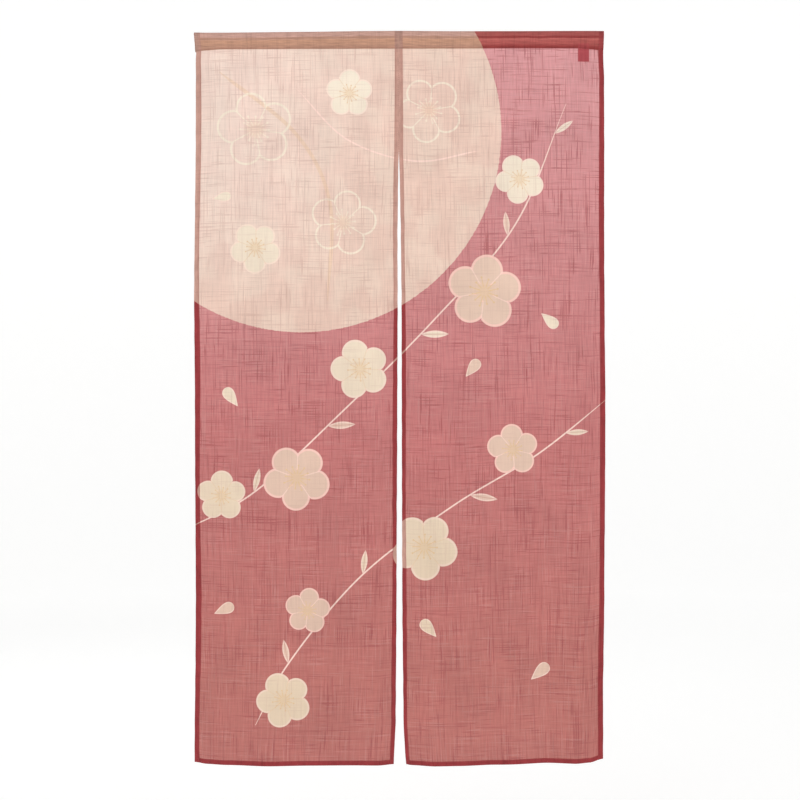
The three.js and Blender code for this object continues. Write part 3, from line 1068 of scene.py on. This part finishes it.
def design(bench, palette, print_x, print_z):
    """The single cloth's colours: rose ground, pale moon, stems, leaves and blossoms, with painted light on
    the top left.
    """
    depth = print_z * (-1 / LONG_DROP)
    rose = palette.rose_top
    for name, start, end in ROSE_STEPS:
        rose = bench.blend(bench.between(depth, start, end), rose, getattr(palette, name))
    fade = bench.between(depth, *MOTIF_FADE)
    cream = bench.blend(fade, palette.cream_top, palette.cream_low)
    pink = bench.blend(fade, palette.pink_top, palette.pink_low)

    bleed = bench.patches(print_x, print_z, 0.006, 0.006) * MOON_BLEED
    to_rim = bench.far(print_x - MOON_X, print_z - MOON_Z) - MOON_RADIUS + bleed
    moon = bench.between(to_rim, MOON_BLUR, -MOON_BLUR)
    pale = bench.blend(bench.between(depth, *MOON_FADE), palette.moon_top, palette.moon_low)
    mottle = bench.eased(bench.patches(print_x, print_z, 0.070, 0.090), -0.10, 0.12)
    pale = bench.blend(mottle * 0.22, pale, palette.cream_top)
    colour = bench.blend(moon, rose, pale)
    # Painted light: the top left of both grounds is paled, as if more brightly lit
    lit = bench.eased(print_x, 0.10, -0.42) * bench.eased(depth, 0.46, 0.16)
    colour = bench.blend(lit * 0.34, colour, palette.pale_thread_and_painted_light)
    cover = moon

    for family in STEM_FAMILIES:
        drawn, gold = stem_paint(bench, family)
        strength = drawn * (0.92 - moon * 0.10 - gold * 0.36)
        colour = bench.blend(strength, colour, bench.blend(gold * 0.8, palette.rim, palette.gold))
        cover = bench.math("MAXIMUM", cover, drawn)

    filled, rim, rib, tone = leaf_paint(bench)
    leaf = bench.blend(tone - 1, cream, pink)
    leaf = bench.blend(rim * 0.7, leaf, palette.rim)
    leaf = bench.blend(rib * 0.45, leaf, rose)
    colour = bench.blend(filled, colour, leaf)
    cover = bench.math("MAXIMUM", cover, filled)

    filled, rim, gap, stamen, glow, kind = blossom_paint(bench)
    is_outline = bench.math("COMPARE", kind, OUTLINE, 0.3)
    is_pink = bench.math("COMPARE", kind, PINK, 0.3)
    petals = bench.blend(is_pink, cream, pink)
    edge = bench.blend(is_pink, palette.rim, palette.pink_rim)
    petals = bench.blend(rim * (is_pink * 0.40 + 0.45), petals, edge)
    petals = bench.blend(gap * is_pink * 0.6, petals, palette.rim)
    petals = bench.blend(gap * (1 - is_pink) * 0.35, petals, palette.gold)
    petals = bench.blend(glow * 0.42, petals, palette.gold)
    petals = bench.blend(stamen * 0.75, petals, palette.gold)
    sketch = bench.math("MAXIMUM", bench.math("MAXIMUM", rim, gap), stamen * 0.8)
    outlined = bench.blend(sketch * 0.78, colour, palette.cream_top)
    outlined = bench.blend(glow * 0.2 * filled, outlined, palette.gold)
    colour = bench.blend(filled, colour, bench.blend(is_outline, petals, outlined))
    ink = filled * (1 - is_outline)
    return colour, bench.math("MAXIMUM", cover, ink), ink


def tape_behind(bench, tape, print_x, print_z):
    """Where the tape behind the cloth darkens it."""
    low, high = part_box("tab")
    shown = 1
    for place, first, last in (
        (print_x, high[0] - tape.width, high[0]), (print_z, low[2] + TAPE_LIFT, TAPE_TOP),
    ):
        shown = bench.between(place, first - TAPE_BLUR, first + TAPE_BLUR) * shown
        shown = bench.between(place, last + TAPE_BLUR, last - TAPE_BLUR) * shown
    return shown


def heading_paint(bench, palette, cover, print_x, print_z):
    """The heading's colours: a strip above its pressed crease, with painted shade along the crease, the
    pocket, and the lip above its seam.
    """
    _, _, up = bench.place("edge_in")
    down, _, _ = bench.place("down_from_top")
    uneven = bench.patches(print_x, print_z, 0.060, 0.020, 2.0) * BAND_UNEVEN
    below = down + uneven + print_x * CREASE_SLOPE - CREASE_DOWN
    in_strip = bench.between(below, *STRIP_EDGE)
    # Painted shade: a darker line along the pressed crease, in the lip's colour
    crease = bench.eased(bench.math("ABSOLUTE", below + CREASE_SHADE_ABOVE), *CREASE_SHADE_WIDTH)
    lip = bench.eased(up + uneven * 0.5, *LIP_REACH)
    lip = bench.math("MAXIMUM", lip, bench.eased(below, *UNDER_CREASE) * 0.35)
    paints = []
    for at_strip, at_band, at_lip_and_crease_shade in (
        (palette.rose_strip, palette.rose_band, palette.rose_lip_and_crease_shade), (palette.pale_strip, palette.pale_band, palette.pale_lip_and_crease_shade),
    ):
        # The crease's painted shade darkens the strip
        strip = bench.blend(crease * 0.95, at_strip, at_lip_and_crease_shade)
        band = bench.blend(lip, at_band, at_lip_and_crease_shade)
        paints.append(bench.blend(in_strip, band, strip))
    fibres = bench.noise(print_x / 0.030, print_z / 0.0017 + print_x * 9, 2.5) - 0.5
    at_join = bench.line(print_x - JOIN_X, *JOIN_BAND)
    tone = 1 + fibres * 0.80 - at_join * 0.09
    return bench.between(up, *HEADING_EDGE), bench.blend(cover, *paints), tone


def cloth_material(cloth, palette, tape):
    """The dyed slub cloth: one layer on the panels, deeper where hems and heading are folded."""
    bench = Bench("slub_cloth")
    print_x, print_z, _ = bench.place("print_at")
    across, along, _ = bench.place("weave_at")
    side_in, foot_in, _ = bench.place("edge_in")
    colour, cover, ink = design(bench, palette, print_x, print_z)

    sway = bench.patches(across, along, 0.130, 0.150) * THREAD_SWAY
    level = along - sway
    upright = across + sway
    pitch, fine_pitch = cloth.slub_pitch, cloth.slub_pitch * FINE_THREADS
    warp = slubs(bench, upright, along, pitch, cloth.warp_length, WARP_SEED)
    weft = slubs(bench, level, across, pitch, cloth.weft_length, WEFT_SEED)
    fine_warp = slubs(bench, upright, along, fine_pitch, cloth.warp_length * FINE_LENGTH, FINE_WARP_SEED)
    fine_weft = slubs(bench, level, across, fine_pitch, cloth.weft_length * FINE_LENGTH, FINE_WEFT_SEED)
    thick = bench.math("MAXIMUM", bench.eased(warp, *THICK_WARP), bench.eased(weft, *THICK_WEFT) * 0.9)
    thin = bench.math("MAXIMUM", bench.eased(warp, *THIN), bench.eased(weft, *THIN))
    fine = fine_warp * 1.2 + fine_weft * 0.8 - 1
    patchy = bench.eased(bench.patches(across, along, 0.045, 0.060), -0.14, 0.14) * 0.60 + 0.65

    hem = bench.math("MAXIMUM", bench.between(side_in, 0, 0.0002), bench.between(foot_in, 0, 0.0002))
    heading, head_colour, head_tone = heading_paint(bench, palette, cover, print_x, print_z)
    folded = bench.math("MAXIMUM", hem, heading)
    quiet = (1 - cover * 0.30 - ink * 0.38) * (1 - folded * 0.45)
    pale_hem = bench.blend(bench.eased(side_in, 0.003, 0.011) * 0.22, palette.pale_hem, palette.moon_low)
    pale_hem = bench.toned(pale_hem, 1 - heading * 0.18)
    hem_colour = bench.blend(cover, palette.crimson, pale_hem)
    depth = thick * patchy * cloth.slub_depth * quiet
    colour = bench.blend(depth, colour, hem_colour)
    colour = bench.blend(thin * patchy * THIN_SHARE * quiet, colour, palette.pale_thread_and_painted_light)
    colour = bench.blend(heading, colour, head_colour)
    colour = bench.blend(hem * (1 - heading * 0.25), colour, hem_colour)
    behind = tape_behind(bench, tape, print_x, print_z)
    colour = bench.blend(behind * (0.94 - heading * 0.45), colour, palette.tape_glow)
    cloud = bench.patches(across, along, 0.085, 0.110)
    blot = bench.patches(across, along, 0.008, 0.022, 2.0)
    tone = 1 + fine * FINE_SHARE * quiet + cloud * CLOUD_SHARE + blot * hem * BLOT_SHARE
    tone = tone - depth * folded * 0.5
    tone = tone * (1 + (head_tone - 1) * heading)
    colour = bench.toned(colour, tone)

    alpha = folded * (1 - cloth.cover) + cloth.cover
    knots = bench.math("SINE", across * (2 * math.pi / THREAD_PITCH))
    knots = knots * bench.math("SINE", along * (2 * math.pi / THREAD_PITCH))
    bump = bench.bump(warp + weft + knots * 0.15, 0.35, 0.0006)
    return bench.finish(0.9 - thick * 0.05, Base_Color=colour, Alpha=alpha, Normal=bump)


def tape_material(tape):
    """Plain woven tape with fine ribs along it."""
    bench = Bench("ribbed_tape")
    across, along, _ = bench.place("weave_at")
    rib = bench.math("SINE", across * (2 * math.pi * tape.ribs / tape.width))
    pick = bench.math("SINE", along * (2 * math.pi / THREAD_PITCH))
    patch = bench.patches(across, along, 0.002, 0.006, 2.0)
    lift = rib * 0.5 + pick * 0.25
    # The lift term is painted shade, darker in the hollows between ribs and picks. The patches are the tape's
    # own uneven tone
    tone = 1 + lift * 0.06 + patch * 0.25
    colour = bench.toned(linear(tape.tape_colour), tone)
    bump = bench.bump(lift, 0.5, 0.0003)
    return bench.finish(0.85 - rib * 0.04, Base_Color=colour, Normal=bump)


def thread_material(sewing):
    """Twisted sewing thread."""
    bench = Bench("sewing_thread")
    across, along, _ = bench.place("weave_at")
    twist = bench.math("SINE", along * (2 * math.pi / TWIST_PITCH) + across * 6)
    # Painted shade: the thread is a little darker in the grooves of its twist, following the bump's height
    tone = 1 + twist * 0.10
    colour = bench.toned(linear(sewing.thread_colour), tone)
    bump = bench.bump(twist, 0.4, 0.0001)
    return bench.finish(0.62, Base_Color=colour, Normal=bump)


def add_piece(name, mesh, material):
    """A piece of the curtain, riding on its one body."""
    piece = bpy.data.objects.new(name, mesh)
    bpy.context.scene.collection.objects.link(piece)
    mesh.materials.append(material)
    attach(piece, "root")
    return piece


def both_lengths(scene):
    return {side: Length(side, scene.noren_cloth, scene.noren_sewing) for side in ("left", "right")}


class NOREN_OT_cloth(bpy.types.Operator):
    """Folds and hangs the two lengths of cloth, and dyes them"""

    bl_idname = "noren.cloth"
    bl_label = "Hang the two lengths"

    def execute(self, context):
        scene = context.scene
        material = cloth_material(scene.noren_cloth, scene.noren_dye, scene.noren_tape)
        for side, length in both_lengths(scene).items():
            piece = add_piece(f"{side}_cloth", length.mesh(f"{side}_cloth"), material)
            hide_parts(f"panel_{side}", f"heading_{side}")
        return {"FINISHED"}


class NOREN_OT_tape(bpy.types.Operator):
    """Sews the folded tape into the foot of the heading, on the back"""

    bl_idname = "noren.tape"
    bl_label = "Sew in the tape"

    def execute(self, context):
        tape = context.scene.noren_tape
        low, high = (Vector(corner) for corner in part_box("tab"))
        columns, rows = 10, 26
        x = np.linspace(high.x - tape.width, high.x, columns)
        head = read(HEADING, "x", "foot", x) + TAPE_IN_SEAM
        straight = high.z - low.z + TAPE_IN_SEAM - TAPE_LIFT - TAPE_BEND
        down = [(share * straight, 0) for share in np.linspace(0, 1, rows)]
        for turn in FOLD_TURNS:
            angle = turn * math.pi
            down.append((straight + TAPE_BEND * math.sin(angle), (1 - math.cos(angle)) / 2))
        down += [(share * straight, 1) for share in np.linspace(1, 0, rows)]
        dropped, layer = (np.array(part)[:, None] for part in zip(*down))
        z = head - dropped
        loose = smooth(dropped, 0.001, 0.010)
        y = wave_at(x, z) + mix(TAPE_PRESSED, TAPE_LOOSE, loose)
        y = y + layer * mix(TAPE_PRESSED, 2 * TAPE_BEND, loose)
        y = y + TAPE_WAVE * loose * np.sin(x * 900) * (1 - layer)
        across = x + 0 * z
        points = np.stack([across, y, z], axis=-1)
        steps = np.linalg.norm(np.diff(points, axis=0), axis=2).mean(axis=1)
        along = np.concatenate([[0], np.cumsum(steps)])[:, None] + 0 * x
        length = float(along[-1, 0])
        flat = np.stack([(across - x[0]) / tape.width, along / length], axis=-1)
        mesh, _ = grid_mesh("tab_tape", points, flat, margin=0.01)
        store(mesh, "weave_at", parted(across, along))
        piece = add_piece("tab_tape", mesh, tape_material(tape))
        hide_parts("tab")
        return {"FINISHED"}


class Stitches:
    """Many short stitches, joined into one mesh."""

    # Each ring's place along the stitch, its size, and how far it stands off the cloth
    RINGS = ((-0.5, 0.08, -0.9), (-0.38, 0.85, -0.1), (0.0, 1.0, 0.15), (0.38, 0.85, -0.1), (0.5, 0.08, -0.9))
    SIDES = 5

    def __init__(self, sewing):
        self.sewing = sewing
        self.points = []
        self.faces = []
        self.places = []

    def add(self, centre, run, out, length=None):
        """One stitch: a short rod along run, sunk at both ends into the cloth."""
        thick = self.sewing.thread / 2
        length = length or self.sewing.stitch
        beside = np.cross(run, out)
        self.faces += tube_faces(len(self.RINGS), self.SIDES, len(self.points))
        for ahead, size, lift in self.RINGS:
            middle = centre + run * ahead * length
            for i in range(self.SIDES):
                angle = 2 * math.pi * i / self.SIDES
                ring = beside * math.cos(angle) + out * math.sin(angle)
                self.points.append(middle + ring * thick * size + out * thick * lift)
                self.places.append((i / self.SIDES, ahead * length, 0))

    def run_along(self, points, outs):
        """A seam of stitches along a course. outs are the ways that the cloth faces along it."""
        steps = np.linalg.norm(np.diff(points, axis=0), axis=1)
        along = np.concatenate([[0], np.cumsum(steps)])
        pitch = self.sewing.stitch + self.sewing.stitch_gap
        reach = self.sewing.stitch / 2

        def at(place, values):
            return np.array([np.interp(place, along, column) for column in values.T])

        for i in range(int(along[-1] / pitch)):
            middle = (i + 0.5) * pitch
            start, end = at(middle - reach, points), at(middle + reach, points)
            run = (end - start) / np.linalg.norm(end - start)
            out = at(middle, outs)
            out -= run * (out @ run)
            out /= np.linalg.norm(out)
            self.add((start + end) / 2 + out * THREAD_ON_CLOTH, run, out)

    def mesh(self, name):
        """All stitches as one mesh, with each stitch in its own square of the map."""
        mesh = plain_mesh(name, [tuple(point) for point in self.points], self.faces)
        store(mesh, "weave_at", np.array(self.places))
        per_stitch = (len(self.RINGS) - 1) * self.SIDES
        stitches = len(self.faces) // per_stitch
        wide = math.ceil(math.sqrt(stitches))
        number = np.arange(stitches)
        cell = np.stack([number % wide, number // wide], axis=1)[:, None, None]
        spots = []
        for k in range(len(self.RINGS) - 1):
            for i in range(self.SIDES):
                spots.append(((i, k), (i + 1, k), (i + 1, k + 1), (i, k + 1)))
        inner = np.array(spots) / (self.SIDES, len(self.RINGS) - 1) * 0.8 + 0.1
        set_map(mesh, (cell + inner) / wide)
        return mesh


class NOREN_OT_stitches(bpy.types.Operator):
    """Sews the hems, the foot of the heading and the join above the slit"""

    bl_idname = "noren.stitches"
    bl_label = "Sew the seams"

    def execute(self, context):
        sewing = context.scene.noren_sewing
        material = thread_material(sewing)
        for side, length in both_lengths(context.scene).items():
            seams = Stitches(sewing)
            points = length.points()
            outs = np.stack([0 * length.x, length.out_y, length.out_z], axis=-1)
            for name, line in length.lines.seams.items():
                way = 1 if name.startswith("face") else -1
                seams.run_along(points[:, line], outs[:, line] * way)
            on_face = length.lines.turned == 0
            for row in length.rows.seams.values():
                seams.run_along(points[row][on_face], outs[row][on_face])
            add_piece(f"stitches_{side}", seams.mesh(f"stitches_{side}"), material)
        add_piece("stitches_join", self.join_seam(sewing).mesh("stitches_join"), material)
        return {"FINISHED"}

    def join_seam(self, sewing):
        """Slanted stitches that draw the two edges together, down to the slit's head."""
        seam = Stitches(sewing)
        out = np.array((0, -1, 0))
        run = np.array(JOIN_SLANT) / np.linalg.norm(JOIN_SLANT)
        head = float(read(HEADING, "x", "foot", JOIN_X))
        for z in np.arange(head - JOIN_ENDS, JOIN_FOOT + JOIN_ENDS, -JOIN_PITCH):
            y = float(wave_at(JOIN_X, z)) - JOIN_PROUD
            seam.add(np.array((JOIN_X, y, z)), run, out, JOIN_STITCH)
        return seam


class NOREN_OT_stage(bpy.types.Operator):
    """Sets the camera, the lights and the pale floor that curves up all round"""

    bl_idname = "noren.stage"
    bl_label = "Set the stage"

    def execute(self, context):
        stage = context.scene.noren_stage
        self.camera(stage)
        self.bowl(stage)
        self.lights(stage)
        context.scene.view_settings.view_transform = "Standard"
        return {"FINISHED"}

    def camera(self, stage):
        data = bpy.data.cameras.new("camera")
        data.lens = stage.lens
        distance = stage.view_width / data.sensor_width * stage.lens
        camera = bpy.data.objects.new("camera", data)
        camera.location = (stage.camera_x, -distance, stage.camera_z)
        camera.rotation_euler = (math.pi / 2, 0, 0)
        bpy.context.scene.collection.objects.link(camera)
        bpy.context.scene.camera = camera

    def bowl(self, stage):
        """A round floor with a soft fillet into a high wall."""
        fillet, wall, sides = 2.5, 7.0, 96
        profile = [(0.001, 0), (stage.radius * 0.5, 0)]
        for turn in np.linspace(0, math.pi / 2, 13):
            profile.append((stage.radius + fillet * math.sin(turn), fillet - fillet * math.cos(turn)))
        profile.append((stage.radius + fillet, wall))
        points = []
        for radius, height in profile:
            for i in range(sides):
                angle = 2 * math.pi * i / sides
                points.append((radius * math.cos(angle), radius * math.sin(angle), height - stage.floor))
        mesh = plain_mesh("pale_bowl", points, tube_faces(len(profile), sides))
        bench = Bench("pale_wall")
        mesh.materials.append(bench.finish(0.95))
        shader = bench.shader.inputs
        shader["Base Color"].default_value = PALE_GREY
        shader["Emission Color"].default_value = WHITE
        shader["Emission Strength"].default_value = stage.glow
        bowl = bpy.data.objects.new("pale_bowl", mesh)
        bpy.context.scene.collection.objects.link(bowl)

    def lights(self, stage):
        world = bpy.data.worlds.new("pale_sky")
        world.use_nodes = True
        background = world.node_tree.nodes["Background"].inputs
        background["Strength"].default_value = stage.sky
        background["Color"].default_value = WHITE
        bpy.context.scene.world = world
        for name, softbox in SOFTBOXES.items():
            data = bpy.data.lights.new(name, "AREA")
            data.energy = getattr(stage, softbox.power)
            data.size = softbox.size
            light = bpy.data.objects.new(name, data)
            light.location = softbox.place
            aim = Vector(LIGHT_AIM) - light.location
            light.rotation_euler = aim.to_track_quat("-Z", "Y").to_euler()
            light.visible_camera = False
            bpy.context.scene.collection.objects.link(light)


class NOREN_PT_panel(bpy.types.Panel):
    """The steps that make the curtain, in order"""

    bl_label = "Noren curtain"
    bl_idname = "NOREN_PT_panel"
    bl_space_type = "VIEW_3D"
    bl_region_type = "UI"
    bl_category = "Noren"

    def draw(self, context):
        for step in STEPS.values():
            self.layout.operator(step.bl_idname)
        for name in SETTINGS:
            box = self.layout.box()
            group = getattr(context.scene, name)
            for key in group.__annotations__:
                box.prop(group, key)


SETTINGS = {
    "noren_stage": NorenStageSettings,
    "noren_cloth": NorenClothSettings,
    "noren_dye": NorenPaletteSettings,
    "noren_sewing": NorenSewingSettings,
    "noren_tape": NorenTapeSettings,
}
STEPS = {
    "stage": NOREN_OT_stage,
    "cloth": NOREN_OT_cloth,
    "tape": NOREN_OT_tape,
    "stitches": NOREN_OT_stitches,
}


def register():
    for group in (*SETTINGS.values(), *STEPS.values(), NOREN_PT_panel):
        bpy.utils.register_class(group)
    for name, group in SETTINGS.items():
        setattr(bpy.types.Scene, name, PointerProperty(type=group))


def unregister():
    for name in SETTINGS:
        delattr(bpy.types.Scene, name)
    for group in (NOREN_PT_panel, *STEPS.values(), *SETTINGS.values()):
        bpy.utils.unregister_class(group)


def main():
    register()
    for step in STEPS:
        getattr(bpy.ops.noren, step)()


if __name__ == "__main__":
    main()
